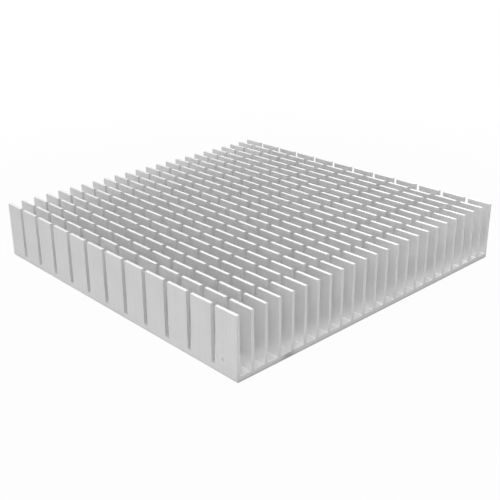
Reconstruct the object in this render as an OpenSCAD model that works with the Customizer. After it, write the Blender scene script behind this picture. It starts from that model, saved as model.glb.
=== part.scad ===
// Cross-cut extruded aluminium heat sink, in millimetres.
// The fins run along X, they stand side by side along Y, and the base lies on Z = 0.
// The origin is the centre of the underside.

/* [Extrusion] */
// Length along the fins
length = 150; // [80:1:300]
// Width across the fins
width = 150; // [100:1:300]
// Height from the underside to the fin tips
height = 25; // [12:0.5:40]
// Thickness of the base plate under the channels
base_t = 2; // [1.5:0.1:6]
// Radius of the base plate's two long lower edges
base_edge_r = 0.6; // [0.2:0.1:1]

/* [Fins] */
// Number of fins across the width
fin_count = 24; // [10:1:26]
// Thickness of a fin where it leaves the base
root_t = 1.45; // [1.2:0.05:2]
// Thickness of a fin at its tip
tip_t = 1.25; // [0.8:0.05:1.3]
// Radius of the fillet along each fin root
root_r = 0.45; // [0.2:0.05:0.8]
// Radius of the long edges of a fin tip
tip_r = 0.1; // [0.05:0.05:0.3]

/* [Cross cuts] */
// Number of tines that each fin is sawn into
tines_per_fin = 12; // [2:1:14]
// Width of a saw cut
kerf = 2.2; // [1:0.1:4]
// Height of the fin stub left standing in a saw cut
stub_h = 0.4; // [0.1:0.05:0.6]
// Rounding of the tine tips along the end where the saws run in
lead_r = 0.6; // [0.2:0.1:1]

/* [Knocked tines] */
// Sideways shift of a knocked tine at its tip
knock = 1; // [0.2:0.1:1.5]
// Shift along the fin of the tine that was knocked at a slant
slant = 0.4; // [0:0.1:0.8]

/* [Hidden] */
$fn = 48;
fin_pitch = (width - root_t) / (fin_count - 1);
tine_pitch = (length + kerf) / tines_per_fin;
tine_len = tine_pitch - kerf;
fin_h = height - base_t;
flank = (root_t - tip_t) / 2 / fin_h;   // sideways run of a fin flank for each millimetre up
cut_z = base_t + stub_h;
over = 1;                               // how far a cutting shape runs past the surface it cuts
root_bite = 0.2;                        // depth of a knocked tine's foot in its stub
// Each knocked tine: its fin, its place along that fin, its shift along X and along Y
KNOCKED = [
    for (k = [[18, 6, -slant, -knock], [22, 9, 0, -knock]])
        if (k[0] < fin_count && k[1] < tines_per_fin) k
];

function fin_y(fin) = -width / 2 + root_t / 2 + fin * fin_pitch;
function tine_x(tine) = -length / 2 + tine_len / 2 + tine * tine_pitch;
// Half the width of a channel, measured up from its floor
function half_gap(up) = (fin_pitch - root_t) / 2 + flank * up;

// Cross section of the blank, its four corners rounded
module blank_section() {
    translate([-width / 2, base_edge_r]) square([width, height - base_edge_r - tip_r]);
    translate([-width / 2 + base_edge_r, 0]) square([width - 2 * base_edge_r, height / 2]);
    translate([-width / 2 + tip_r, height / 2]) square([width - 2 * tip_r, height / 2]);
    for (side = [-1, 1]) {
        translate([side * (width / 2 - base_edge_r), base_edge_r]) circle(base_edge_r);
        translate([side * (width / 2 - tip_r), height - tip_r]) circle(tip_r);
    }
}

// Cross section of the channel between two fins, measured up from its floor. Circles that
// reach from floor to flank fill its lower corners, and circles that reach from flank to
// tip are left standing at its mouth, as the rounded edges of the fins.
module channel_section() {
    root = [half_gap(root_r) - root_r, root_r];
    tip = [half_gap(fin_h - tip_r) + tip_r, fin_h - tip_r];
    side = [
        [root[0], 0], root + [root_r, 0], tip - [tip_r, 0], [tip[0], fin_h], [tip[0], fin_h + over]
    ];
    difference() {
        union() {
            polygon([each side, for (i = [len(side) - 1:-1:0]) [-side[i][0], side[i][1]]]);
            for (y = [-root[0], root[0]]) translate([y, root[1]]) circle(root_r);
        }
        for (y = [-tip[0], tip[0]]) translate([y, tip[1]]) circle(tip_r);
    }
}

module extrusion_section() {
    difference() {
        blank_section();
        for (gap = [0:fin_count - 2])
            translate([fin_y(gap) + fin_pitch / 2, base_t]) channel_section();
    }
}

// Turns a cross section into a bar along X, centred on the origin
module along_x(bar_length) {
    translate([-bar_length / 2, 0, 0]) rotate([90, 0, 90]) linear_extrude(bar_length) children();
}

module saw_cuts() {
    for (cut = [0:tines_per_fin - 2])
        translate([tine_x(cut) + tine_pitch / 2 - kerf / 2, -width / 2 - over, cut_z])
            cube([kerf, width + 2 * over, height]);
}

// The sharp upper edge that is worn off the end where the saws run in
module lead_edge() {
    translate([-length / 2, 0, height - lead_r]) difference() {
        translate([-over, -width / 2 - over, 0]) cube([lead_r + over, width + 2 * over, lead_r + over]);
        translate([lead_r, 0, 0]) rotate([90, 0, 0])
            cylinder(r = lead_r, h = width + 4 * over, center = true);
    }
}

// Room for a knocked tine: the straight one is taken away down to its stub
module straight_tine_room(fin, tine) {
    translate([tine_x(tine) - tine_pitch / 2, fin_y(fin) - fin_pitch / 2, cut_z])
        cube([tine_pitch, fin_pitch, height]);
}

// A tine bent over from its stub, so that its tip has moved by shift_x and shift_y.
// Its higher corner stays level with the other tines.
module knocked_tine(fin, tine, shift_x, shift_y) {
    tine_h = height - cut_z;
    foot_y = root_t / 2 - flank * (stub_h - root_bite);
    tip_z = tine_h - (tine_len / 2 * abs(shift_x) + tip_t / 2 * abs(shift_y)) / tine_h;
    translate([tine_x(tine), fin_y(fin), cut_z])
        rotate([-atan(shift_y / tine_h), atan(shift_x / tine_h), 0])
            along_x(tine_len) polygon([
                [-foot_y, -root_bite], [foot_y, -root_bite], [tip_t / 2, tip_z], [-tip_t / 2, tip_z]
            ]);
}

module heat_sink() {
    color("silver") {
        difference() {
            along_x(length) extrusion_section();
            saw_cuts();
            lead_edge();
            for (k = KNOCKED) straight_tine_room(k[0], k[1]);
        }
        for (k = KNOCKED) knocked_tine(k[0], k[1], k[2], k[3]);
    }
}

heat_sink();
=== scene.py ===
"""A cross-cut extruded heat sink in mill-finish aluminium, in a white studio.

The fins run along X, they stand side by side along Y, and the base lies on Z = 0.
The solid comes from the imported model. This script adds its metal finish, the burrs
that the saws left, the studio and the camera.
"""

import math
import random

import bmesh
import bpy
from mathutils import Matrix, Vector


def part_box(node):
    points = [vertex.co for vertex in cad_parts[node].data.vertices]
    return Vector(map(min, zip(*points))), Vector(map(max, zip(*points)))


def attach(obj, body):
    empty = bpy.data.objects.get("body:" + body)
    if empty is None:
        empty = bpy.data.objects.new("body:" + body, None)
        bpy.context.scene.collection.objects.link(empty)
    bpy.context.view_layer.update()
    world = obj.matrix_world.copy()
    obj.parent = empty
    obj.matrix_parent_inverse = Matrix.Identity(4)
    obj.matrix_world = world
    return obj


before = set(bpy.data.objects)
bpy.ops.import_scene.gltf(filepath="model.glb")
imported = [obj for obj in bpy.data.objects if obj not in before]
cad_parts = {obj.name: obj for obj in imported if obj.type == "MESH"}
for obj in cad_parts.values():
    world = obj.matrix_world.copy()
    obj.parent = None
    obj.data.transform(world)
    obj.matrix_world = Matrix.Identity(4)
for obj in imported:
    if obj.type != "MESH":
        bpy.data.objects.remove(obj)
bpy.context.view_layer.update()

# Lengths are in millimetres, except in the studio and where a comment says metres
MM = 0.001  # one millimetre, in metres
LOW, HIGH = (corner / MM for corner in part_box("heat_sink"))  # the sink's corners

TINES_PER_FIN = 12
KERF = 2.2  # width of a saw cut
TINE_PITCH = (HIGH.x - LOW.x + KERF) / TINES_PER_FIN
CUT_FLOOR = 2.4  # height at which a saw cut ends
BASE_T = 2.0  # thickness of the base plate


def cut_right_edge(cut):
    """X of the wall of a saw cut that faces -X. Cuts count from 0 at the -X end."""
    return LOW.x + (cut + 1) * TINE_PITCH


# ---------------------------------------------------------------- node helpers


class Signal:
    """A number that varies over a surface. Arithmetic on it adds Math nodes."""

    def __init__(self, sheet, socket):
        self.sheet = sheet
        self.socket = socket

    def math(self, operation, *others):
        values = dict(enumerate((self, *others)))
        return self.sheet.signal("ShaderNodeMath", {"operation": operation}, values)

    def __add__(self, other):
        return self.math("ADD", other)

    __radd__ = __add__

    def __sub__(self, other):
        return self.math("SUBTRACT", other)

    def __rsub__(self, other):
        return self.math("MULTIPLY", -1.0).math("ADD", other)

    def __mul__(self, other):
        return self.math("MULTIPLY", other)

    __rmul__ = __mul__

    def __truediv__(self, other):
        return self.math("DIVIDE", other)

    def __abs__(self):
        return self.math("ABSOLUTE")

    def root(self):
        return self.math("SQRT")

    def whole(self):
        return self.math("FLOOR")

    def either(self, other):
        return self.math("MAXIMUM", other)

    def ramp(self, low, high):
        """0 up to low and 1 from high, smooth between. Low may be the larger."""
        if low > high:
            return 1.0 - self.ramp(high, low)
        settings = {"interpolation_type": "SMOOTHSTEP", "clamp": True}
        values = {"Value": self, "From Min": low, "From Max": high}
        return self.sheet.signal("ShaderNodeMapRange", settings, values)


class Sheet:
    """The node tree of one material, or of the world."""

    def __init__(self, owner):
        owner.use_nodes = True
        self.tree = owner.node_tree
        self.tree.nodes.clear()

    def node(self, kind, settings=None, values=None):
        """Adds a node. Its settings are set first, and then its sockets are fed."""
        made = self.tree.nodes.new(kind)
        for name, setting in (settings or {}).items():
            setattr(made, name, setting)
        for name, value in (values or {}).items():
            if isinstance(value, Signal):
                value = value.socket
            if isinstance(value, bpy.types.NodeSocket):
                self.tree.links.new(value, made.inputs[name])
            else:
                made.inputs[name].default_value = value
        return made

    def signal(self, kind, settings=None, values=None):
        return Signal(self, self.node(kind, settings, values).outputs[0])

    def split(self, vector):
        made = self.node("ShaderNodeSeparateXYZ", {}, {"Vector": vector})
        return [Signal(self, socket) for socket in made.outputs]

    def grain(self, x, y, z, detail=2.0):
        """Noise around 0, from about -1 to 1, with one cell for each unit of x, y and z."""
        place = self.node("ShaderNodeCombineXYZ", {}, {"X": x, "Y": y, "Z": z})
        values = {"Vector": place.outputs[0], "Scale": 1.0, "Detail": detail}
        return (self.signal("ShaderNodeTexNoise", {}, values) - 0.5) * 2.0

    def blend(self, factor, first, second):
        """The first colour where the factor is 0 and the second where it is 1."""
        settings = {"data_type": "RGBA", "clamp_factor": True}
        values = {"Factor": factor, MIX_COLOR_A: first, MIX_COLOR_B: second}
        return self.node("ShaderNodeMix", settings, values).outputs[MIX_COLOR_OUT]

    def mix_shaders(self, factor, first, second):
        """The first shader where the factor is 0 and the second where it is 1."""
        values = {0: factor, 1: first.outputs[0], 2: second.outputs[0]}
        return self.node("ShaderNodeMixShader", {}, values)


# Places of the colour sockets on a Mix node, whose sockets share their names
MIX_COLOR_A, MIX_COLOR_B, MIX_COLOR_OUT = 6, 7, 2


def grey(level):
    return (level, level, level, 1.0)


def cells(place, per_mm):
    """A place counted in cells of noise, from the cells in a millimetre along each axis."""
    return [along * count for along, count in zip(place, per_mm)]


# ---------------------------------------------------------------- metal finish

# A tone of 0 is the dark metal, and a tone of 1 is the bright metal
DARK_METAL = grey(0.5)
BRIGHT_METAL = grey(1.0)
EXTRUDED_TONE = 0.85
CUT_END_TONE = 0.58  # where the extrusion was cut to length
KERF_TONE = 0.5  # walls of the saw cuts

EXTRUDED_ROUGHNESS = 0.6
FILLET_ROUGHNESS = 0.35
TIP_ROUGHNESS = 0.5
SAWN_ROUGHNESS = 0.8
BUMP_STRENGTH = 0.6
BUMP_DEPTH = 0.012

# Cells of noise in a millimetre along X, Y and Z
DIE_LINE_CELLS = (0.004, 5.0, 5.0)
UNEVEN_SHEEN_CELLS = (0.9, 0.31, 0.02)
CLOUD_CELLS = (0.07, 0.31, 0.10)
GRIT_CELLS = (6.0, 6.0, 6.0)
FINE_DETAIL = 3.0  # of the noise in lines and arcs

BLADE_RADIUS = 60.0
ARC_CELLS = 1.6  # cells of noise in a millimetre across the arcs
ARC_FADE = 0.05  # cells in a millimetre of height, so that an arc changes as it rises
CUT_SHIFT = 7.3  # how far the arcs move along Y from one cut to the next
CUT_CHANGE = 3.1  # cells of noise from one cut to the next

# How much of the tone, of the roughness and of the relief each pattern makes up
LINES_IN_TONE, UNEVEN_SHEEN_IN_TONE, CLOUDS_IN_TONE, GRIT_IN_TONE = 0.04, 0.06, 0.06, 0.03
ARCS_IN_TONE, GRIT_IN_SAWN_TONE = 0.10, 0.05
LINES_IN_ROUGHNESS, CLOUDS_IN_ROUGHNESS, ARCS_IN_ROUGHNESS = 0.04, 0.05, 0.06
LINES_IN_RELIEF, CLOUDS_IN_RELIEF, ARCS_IN_RELIEF, GRIT_IN_RELIEF = 0.5, 1.2, 1.4, 0.3

# How much paler or darker a place or a mark is than the metal around it. The paler
# inner foot and fillets are painted light; the darker channel floors, cut-end foot,
# tip ends and foot are painted shade; the smudge, pit and ring are marks on the metal.
INNER_FOOT_PAINTED_LIGHT, FILLET_PAINTED_HIGHLIGHT, RING_PALER = 0.2, 0.1, 0.05
CHANNEL_PAINTED_SHADE, CUT_END_FOOT_PAINTED_SHADE = 0.45, 0.12
SMUDGE_DARKER, PIT_DARKER, TIP_END_PAINTED_SHADE, FOOT_PAINTED_SHADE = 0.4, 0.28, 0.3, 0.25
PIT_IN_RELIEF = 4.0

# Each pair below is where a place or a mark begins, and where it is full.
# Part of the normal along an axis:
SQUARE_ON = (0.6, 0.8)
TIP_SLANT = (0.3, 0.6)
FILLET_SLANT = (0.25, 0.45)
LEVEL = (0.85, 0.97)
# Height:
TIP_HEIGHTS = (HIGH.z - 0.3, HIGH.z - 0.1)
ABOVE_BASE = (BASE_T, BASE_T + 0.05)
FILLET_HEIGHTS = (4.0, 3.0)
CHANNEL_HEIGHTS = (BASE_T + 0.25, BASE_T + 0.1)
INNER_FOOT_LIGHT_HEIGHTS = (9.0, 2.0)
CUT_END_SHADE_HEIGHTS = (7.0, 1.0)
SMUDGE_HEIGHTS = (BASE_T + 0.6, BASE_T - 0.6)
FOOT_SHADE_HEIGHTS = (1.3, 0.1)
# Place along X or Y:
CUT_END_X = (HIGH.x - 0.4, HIGH.x - 0.1)
OUTER_FACE_Y = (LOW.y + 0.4, LOW.y + 0.2)
# Distance from the top of a stub, the end of a tine and the middle of the scar:
FROM_STUB = (0.12, 0.04)
FROM_TINE_END = (0.45, 0.05)
PIT_RADII = (0.95, 0.25)
RING_OUTER_RADII, RING_INNER_RADII = (2.2, 1.4), (0.7, 1.4)

SMUDGE_Y, SMUDGE_HALF = -50.5, 5.0  # on the cut end of the base: its middle and half length
SMUDGE_CELLS = (0.5, 0.8)  # cells in a millimetre along Y and Z
SCAR_X, SCAR_Z = 68.1, 6.2  # a small pit on the near outer fin
FOOT_SHADE_UNEVEN = 0.3  # most that the top of the painted shade at the foot goes up and down


def mill_aluminium():
    """Extruded faces with faint die lines along X and sawn faces with the saws' arcs, in a tone
    that holds painted light and shade.
    """
    made = bpy.data.materials.new("mill_aluminium")
    sheet = Sheet(made)
    origin = sheet.node("ShaderNodeTexCoord").outputs["Object"]
    place = [along / MM for along in sheet.split(origin)]
    x, y, z = place
    normal = sheet.split(sheet.node("ShaderNodeNewGeometry").outputs["Normal"])
    face_x, face_z = normal[0], normal[2]

    # Where the saws have been
    stub = abs(z - CUT_FLOOR).ramp(*FROM_STUB) * face_z.ramp(*SQUARE_ON)
    sawn = abs(face_x).ramp(*SQUARE_ON).either(stub)
    cut_end = abs(x).ramp(*CUT_END_X)
    cut_number = ((x - LOW.x) / TINE_PITCH).whole()
    along_tine = ((x - LOW.x) / TINE_PITCH).math("FRACT") * TINE_PITCH
    from_cut = along_tine.math("MINIMUM", TINE_PITCH - KERF - along_tine)

    # Where the die has left a tip, a fillet, a channel floor or the near outer face
    tip = z.ramp(*TIP_HEIGHTS) * face_z.ramp(*TIP_SLANT)
    # Painted shade: the tops of the tips darker close to each cut, in place of rounded ends
    tip_end_painted_shade = from_cut.ramp(*FROM_TINE_END) * tip
    fillet = z.ramp(*ABOVE_BASE) * face_z.ramp(*FILLET_SLANT) * z.ramp(*FILLET_HEIGHTS)
    channel_floor = face_z.ramp(*LEVEL) * z.ramp(*CHANNEL_HEIGHTS)
    outer_face = y.ramp(*OUTER_FACE_Y)
    # Painted light: the faces inside the channels are painted paler towards the bottom
    inner_foot_painted_light = z.ramp(*INNER_FOOT_LIGHT_HEIGHTS) * (1.0 - outer_face)

    # Die lines run the whole length of the extrusion. Upright bands of uneven tone along X
    # are painted sheen, standing in for the streaks that die lines spread up and down.
    die_lines = sheet.grain(*cells(place, DIE_LINE_CELLS), FINE_DETAIL)
    uneven_sheen_bands = sheet.grain(*cells(place, UNEVEN_SHEEN_CELLS))
    clouds = sheet.grain(*cells(place, CLOUD_CELLS))
    grit = sheet.grain(*cells(place, GRIT_CELLS))

    # A disc blade moving along Y leaves arcs that start flat and grow steeper as they rise.
    reach = z.either(0.0) * (2.0 * BLADE_RADIUS - z)
    across_arcs = (y + reach.root() + cut_number * CUT_SHIFT) * ARC_CELLS
    arcs = sheet.grain(across_arcs, cut_number * CUT_CHANGE, z * ARC_FADE, FINE_DETAIL)

    # The upright bands give uneven tone and painted sheen
    extruded_tone = EXTRUDED_TONE + die_lines * LINES_IN_TONE + uneven_sheen_bands * UNEVEN_SHEEN_IN_TONE
    extruded_tone = extruded_tone + clouds * CLOUDS_IN_TONE + grit * GRIT_IN_TONE
    # Painted light on the lower inner faces, and a painted highlight along the fillets
    extruded_tone = extruded_tone + inner_foot_painted_light * INNER_FOOT_PAINTED_LIGHT + fillet * FILLET_PAINTED_HIGHLIGHT
    # Painted shade on the channel floors between the fins
    extruded_tone = extruded_tone - channel_floor * CHANNEL_PAINTED_SHADE
    # Painted shade: the cut end darker towards the bottom
    cut_end_tone = CUT_END_TONE - z.ramp(*CUT_END_SHADE_HEIGHTS) * CUT_END_FOOT_PAINTED_SHADE
    sawn_tone = KERF_TONE + (cut_end_tone - KERF_TONE) * cut_end
    sawn_tone = sawn_tone + arcs * ARCS_IN_TONE + grit * GRIT_IN_SAWN_TONE
    tone = extruded_tone * (1.0 - sawn) + sawn_tone * sawn

    # Marks of handling: a smudge and a pit with a pale ring. Painted shade: darker tip ends and a
    # darker foot
    from_smudge = abs(y - SMUDGE_Y + sheet.grain(*cells((y, z), SMUDGE_CELLS), 0.0))
    smudge = from_smudge.ramp(SMUDGE_HALF, 0.0) * z.ramp(*SMUDGE_HEIGHTS)
    smudge = smudge * face_x.ramp(*SQUARE_ON)
    from_scar = ((x - SCAR_X) * (x - SCAR_X) + (z - SCAR_Z) * (z - SCAR_Z)).root()
    pit = from_scar.ramp(*PIT_RADII) * outer_face
    ring = from_scar.ramp(*RING_OUTER_RADII) * from_scar.ramp(*RING_INNER_RADII) * outer_face
    # Painted shade: every face darker towards the floor, with an uneven top
    foot_painted_shade = (z + clouds * FOOT_SHADE_UNEVEN).ramp(*FOOT_SHADE_HEIGHTS)
    tone = tone - smudge * SMUDGE_DARKER - pit * PIT_DARKER + ring * RING_PALER
    # Painted shade at the tip ends and along the foot of every face
    tone = tone - tip_end_painted_shade * TIP_END_PAINTED_SHADE - foot_painted_shade * FOOT_PAINTED_SHADE

    roughness = EXTRUDED_ROUGHNESS + die_lines * LINES_IN_ROUGHNESS + clouds * CLOUDS_IN_ROUGHNESS
    roughness = roughness * (1.0 - fillet) + FILLET_ROUGHNESS * fillet
    tip_roughness = TIP_ROUGHNESS + die_lines * LINES_IN_ROUGHNESS
    roughness = roughness * (1.0 - tip) + tip_roughness * tip
    sawn_roughness = SAWN_ROUGHNESS + arcs * ARCS_IN_ROUGHNESS
    roughness = roughness * (1.0 - sawn) + sawn_roughness * sawn

    height = (die_lines * LINES_IN_RELIEF + clouds * CLOUDS_IN_RELIEF) * (1.0 - sawn)
    height = height + arcs * ARCS_IN_RELIEF * sawn + grit * GRIT_IN_RELIEF
    height = height - pit * PIT_IN_RELIEF
    relief = {"Strength": BUMP_STRENGTH, "Distance": BUMP_DEPTH * MM, "Height": height}
    look = {
        "Base Color": sheet.blend(tone, DARK_METAL, BRIGHT_METAL),
        "Metallic": 1.0,
        "Roughness": roughness,
        "Normal": sheet.node("ShaderNodeBump", {}, relief).outputs[0],
    }
    metal = sheet.node("ShaderNodeBsdfPrincipled", {}, look)
    sheet.node("ShaderNodeOutputMaterial", {}, {"Surface": metal.outputs[0]})
    return made


# Paler than the sink's metal: fresh metal, with a painted highlight for the glints on the lips
TORN_GLINT_LEVEL = 0.98
TORN_ROUGHNESS = 0.4


def torn_metal():
    """Freshly smeared metal, smoother than the faces around it, and brighter, partly as a painted
    highlight.
    """
    made = bpy.data.materials.new("torn_metal")
    sheet = Sheet(made)
    look = {"Base Color": grey(TORN_GLINT_LEVEL), "Metallic": 1.0, "Roughness": TORN_ROUGHNESS}
    metal = sheet.node("ShaderNodeBsdfPrincipled", {}, look)
    sheet.node("ShaderNodeOutputMaterial", {}, {"Surface": metal.outputs[0]})
    return made


# ---------------------------------------------------------------- burrs

# Each burr of the near outer fin: the cut it hangs in, the height of its top, its width
BURRS = ((9, 10.0, 0.8), (10, 11.5, 0.85))
BURR_STEPS = 40  # steps from its foot to its top
BURR_DEPTH = 0.5  # from the outer face inwards
SUNK = 0.3  # how far it reaches into the metal below it and beside it
NARROWING = 2.2  # it narrows over the top 1 / 2.2 of its height
NARROWING_POWER = 0.8  # under 1, so that its top is blunt
RAGGED = 0.12  # part of its width by which that varies
CURL = 0.12  # most that its lip curls inwards


def saw_burrs(metal):
    """Lips of smeared metal that narrow the lower ends of two cuts in the near outer fin."""
    rng = random.Random(7)
    mesh = bpy.data.meshes.new("saw_burrs")
    made = bmesh.new()
    for cut, top, width in BURRS:
        wall = cut_right_edge(cut)
        rings = []
        for step in range(BURR_STEPS + 1):
            up = step / BURR_STEPS
            height = CUT_FLOOR - SUNK + up * (top - CUT_FLOOR + SUNK)
            narrow = min(1.0, (1.0 - up) * NARROWING) ** NARROWING_POWER
            reach = width * narrow * (1.0 + rng.uniform(-RAGGED, RAGGED))
            curl = CURL * rng.random()
            # Each point: X from the wall of the cut, and Y from the outer face
            outline = (
                (SUNK, 0.02), (-reach * 0.6, 0.04), (-reach, 0.12 + curl),
                (-reach * 0.9, BURR_DEPTH * 0.6), (-reach * 0.4, BURR_DEPTH),
                (SUNK, BURR_DEPTH * 1.2),
            )
            places = (Vector((wall + a, LOW.y + b, height)) * MM for a, b in outline)
            rings.append([made.verts.new(place) for place in places])
        for lower, upper in zip(rings, rings[1:]):
            for place in range(len(lower)):
                after = (place + 1) % len(lower)
                made.faces.new((lower[place], lower[after], upper[after], upper[place]))
        made.faces.new(rings[0])
        made.faces.new(rings[-1])
    bmesh.ops.recalc_face_normals(made, faces=made.faces)
    for face in made.faces:
        face.smooth = True
    made.to_mesh(mesh)
    made.free()
    mesh.materials.append(metal)
    burrs = bpy.data.objects.new("saw_burrs", mesh)
    bpy.context.scene.collection.objects.link(burrs)
    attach(burrs, "root")


# ---------------------------------------------------------------- studio

# Lengths in the studio are in metres, and powers in watts
SHOWN_IN_METAL = 0.33  # how much of the white background's strength metal and glass show

FLOOR_HALF = 4.0  # half its width
FLOOR_LEVEL = 0.47  # part of the lamps' light that it gives back
SHADE_LEFT = 0.035  # part of its real shading that the camera sees beside the object
SHADE_FADES, SHADE_ENDS = 0.12, 0.35  # distances from the middle at which that part fades

SOFTBOX_DISTANCE = 1.0
OVERHEAD_SIZE, OVERHEAD_POWER = 1.2, 9.4
LOW_SOFTBOX_SIZE = 0.75
# Azimuth, elevation and power of each
LOW_SOFTBOXES = (
    (45, 15, 3.4), (45, 45, 1.4), (135, 15, 0.5), (180, 15, 3.2), (200, 27, 0.6),
    (225, 15, 0.6), (225, 45, 0.2), (270, 30, 0.8), (315, 45, 0.5),
)


def background_seen(sheet, in_camera):
    """How much white background a ray meets: in_camera for the camera, and less in metal."""
    rays = sheet.node("ShaderNodeLightPath")
    camera_ray = Signal(sheet, rays.outputs["Is Camera Ray"])
    glossy_ray = Signal(sheet, rays.outputs["Is Glossy Ray"])
    through_ray = Signal(sheet, rays.outputs["Is Transmission Ray"])
    return camera_ray * in_camera + (glossy_ray + through_ray) * SHOWN_IN_METAL


def white_floor():
    """White to the camera, with a faint shadow beside the object, and grey to the lamps."""
    half = FLOOR_HALF
    corners = [(-half, -half, 0), (half, -half, 0), (half, half, 0), (-half, half, 0)]
    mesh = bpy.data.meshes.new("floor")
    mesh.from_pydata(corners, [], [(0, 1, 2, 3)])
    floor = bpy.data.objects.new("floor", mesh)
    bpy.context.scene.collection.objects.link(floor)
    material = bpy.data.materials.new("studio_floor")
    sheet = Sheet(material)
    away = sheet.split(sheet.node("ShaderNodeTexCoord").outputs["Object"])
    distance = (away[0] * away[0] + away[1] * away[1]).root()
    white_part = (1.0 - SHADE_LEFT) + distance.ramp(SHADE_FADES, SHADE_ENDS) * SHADE_LEFT
    lit = sheet.node("ShaderNodeBsdfDiffuse", {}, {"Color": grey(FLOOR_LEVEL)})
    white = sheet.node("ShaderNodeEmission", {}, {"Color": grey(1.0), "Strength": 1.0})
    both = sheet.mix_shaders(background_seen(sheet, white_part), lit, white)
    sheet.node("ShaderNodeOutputMaterial", {}, {"Surface": both.outputs[0]})
    mesh.materials.append(material)


def room():
    """White past the floor for the camera, and in part for metal. It lights nothing else."""
    world = bpy.data.worlds.new("studio")
    bpy.context.scene.world = world
    sheet = Sheet(world)
    unlit = sheet.node("ShaderNodeBackground", {}, {"Color": grey(0.0), "Strength": 0.0})
    white = sheet.node("ShaderNodeBackground", {}, {"Color": grey(1.0), "Strength": 1.0})
    both = sheet.mix_shaders(background_seen(sheet, 1.0), unlit, white)
    sheet.node("ShaderNodeOutputWorld", {}, {"Surface": both.outputs[0]})


def direction(azimuth, elevation):
    """Unit vector away from the object, from degrees. Azimuth 0 is -Y, and 90 is +X."""
    a, e = math.radians(azimuth), math.radians(elevation)
    return Vector((math.sin(a) * math.cos(e), -math.cos(a) * math.cos(e), math.sin(e)))


def softbox(name, azimuth, elevation, size, power):
    """A square lamp that faces the object. The camera doesn't see it."""
    back = direction(azimuth, elevation)
    lamp = bpy.data.lights.new(name, "AREA")
    lamp.size = size
    lamp.energy = power
    holder = bpy.data.objects.new(name, lamp)
    holder.location = back * SOFTBOX_DISTANCE
    holder.rotation_euler = back.to_track_quat("Z", "Y").to_euler()
    holder.visible_camera = False
    bpy.context.scene.collection.objects.link(holder)


# ---------------------------------------------------------------- camera

CAMERA_AZIMUTH, CAMERA_ELEVATION, CAMERA_ROLL = 49.96, 21.68, -1.696  # in degrees
CAMERA_BACK, CAMERA_ASIDE, CAMERA_UP = 369.6, -20.83, 11.6  # in millimetres
SENSOR_WIDTH, LENS = 36.0, 58.98  # in millimetres
SHIFT_X, SHIFT_Y = 0.103, -0.04  # parts of the picture's width
NEAREST, FARTHEST = 0.01, 50.0  # what it sees, in metres


def camera():
    """Looks down on the corner where a cut end meets an outer fin."""
    roll = math.radians(CAMERA_ROLL)
    back = direction(CAMERA_AZIMUTH, CAMERA_ELEVATION)
    level = direction(CAMERA_AZIMUTH + 90.0, 0.0)
    above = back.cross(level)
    right = level * math.cos(roll) + above * math.sin(roll)
    top = above * math.cos(roll) - level * math.sin(roll)
    eye = bpy.data.cameras.new("camera")
    eye.sensor_width = SENSOR_WIDTH
    eye.lens = LENS
    eye.shift_x = SHIFT_X
    eye.shift_y = SHIFT_Y
    eye.clip_start = NEAREST
    eye.clip_end = FARTHEST
    holder = bpy.data.objects.new("camera", eye)
    axes = Matrix((right, top, back)).transposed().to_4x4()
    aside = right * (CAMERA_ASIDE * MM)
    eye_place = back * (CAMERA_BACK * MM) + aside + top * (CAMERA_UP * MM)
    holder.matrix_world = Matrix.Translation(eye_place) @ axes
    bpy.context.scene.collection.objects.link(holder)
    bpy.context.scene.camera = holder


# ---------------------------------------------------------------- making

camera()
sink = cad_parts["heat_sink"]
sink.data.materials.clear()
sink.data.materials.append(mill_aluminium())
saw_burrs(torn_metal())

white_floor()
room()
softbox("overhead", 0, 90, OVERHEAD_SIZE, OVERHEAD_POWER)
for azimuth, elevation, power in LOW_SOFTBOXES:
    name = "softbox_%d_%d" % (azimuth, elevation)
    softbox(name, azimuth, elevation, LOW_SOFTBOX_SIZE, power)
bpy.context.scene.view_settings.view_transform = "Standard"
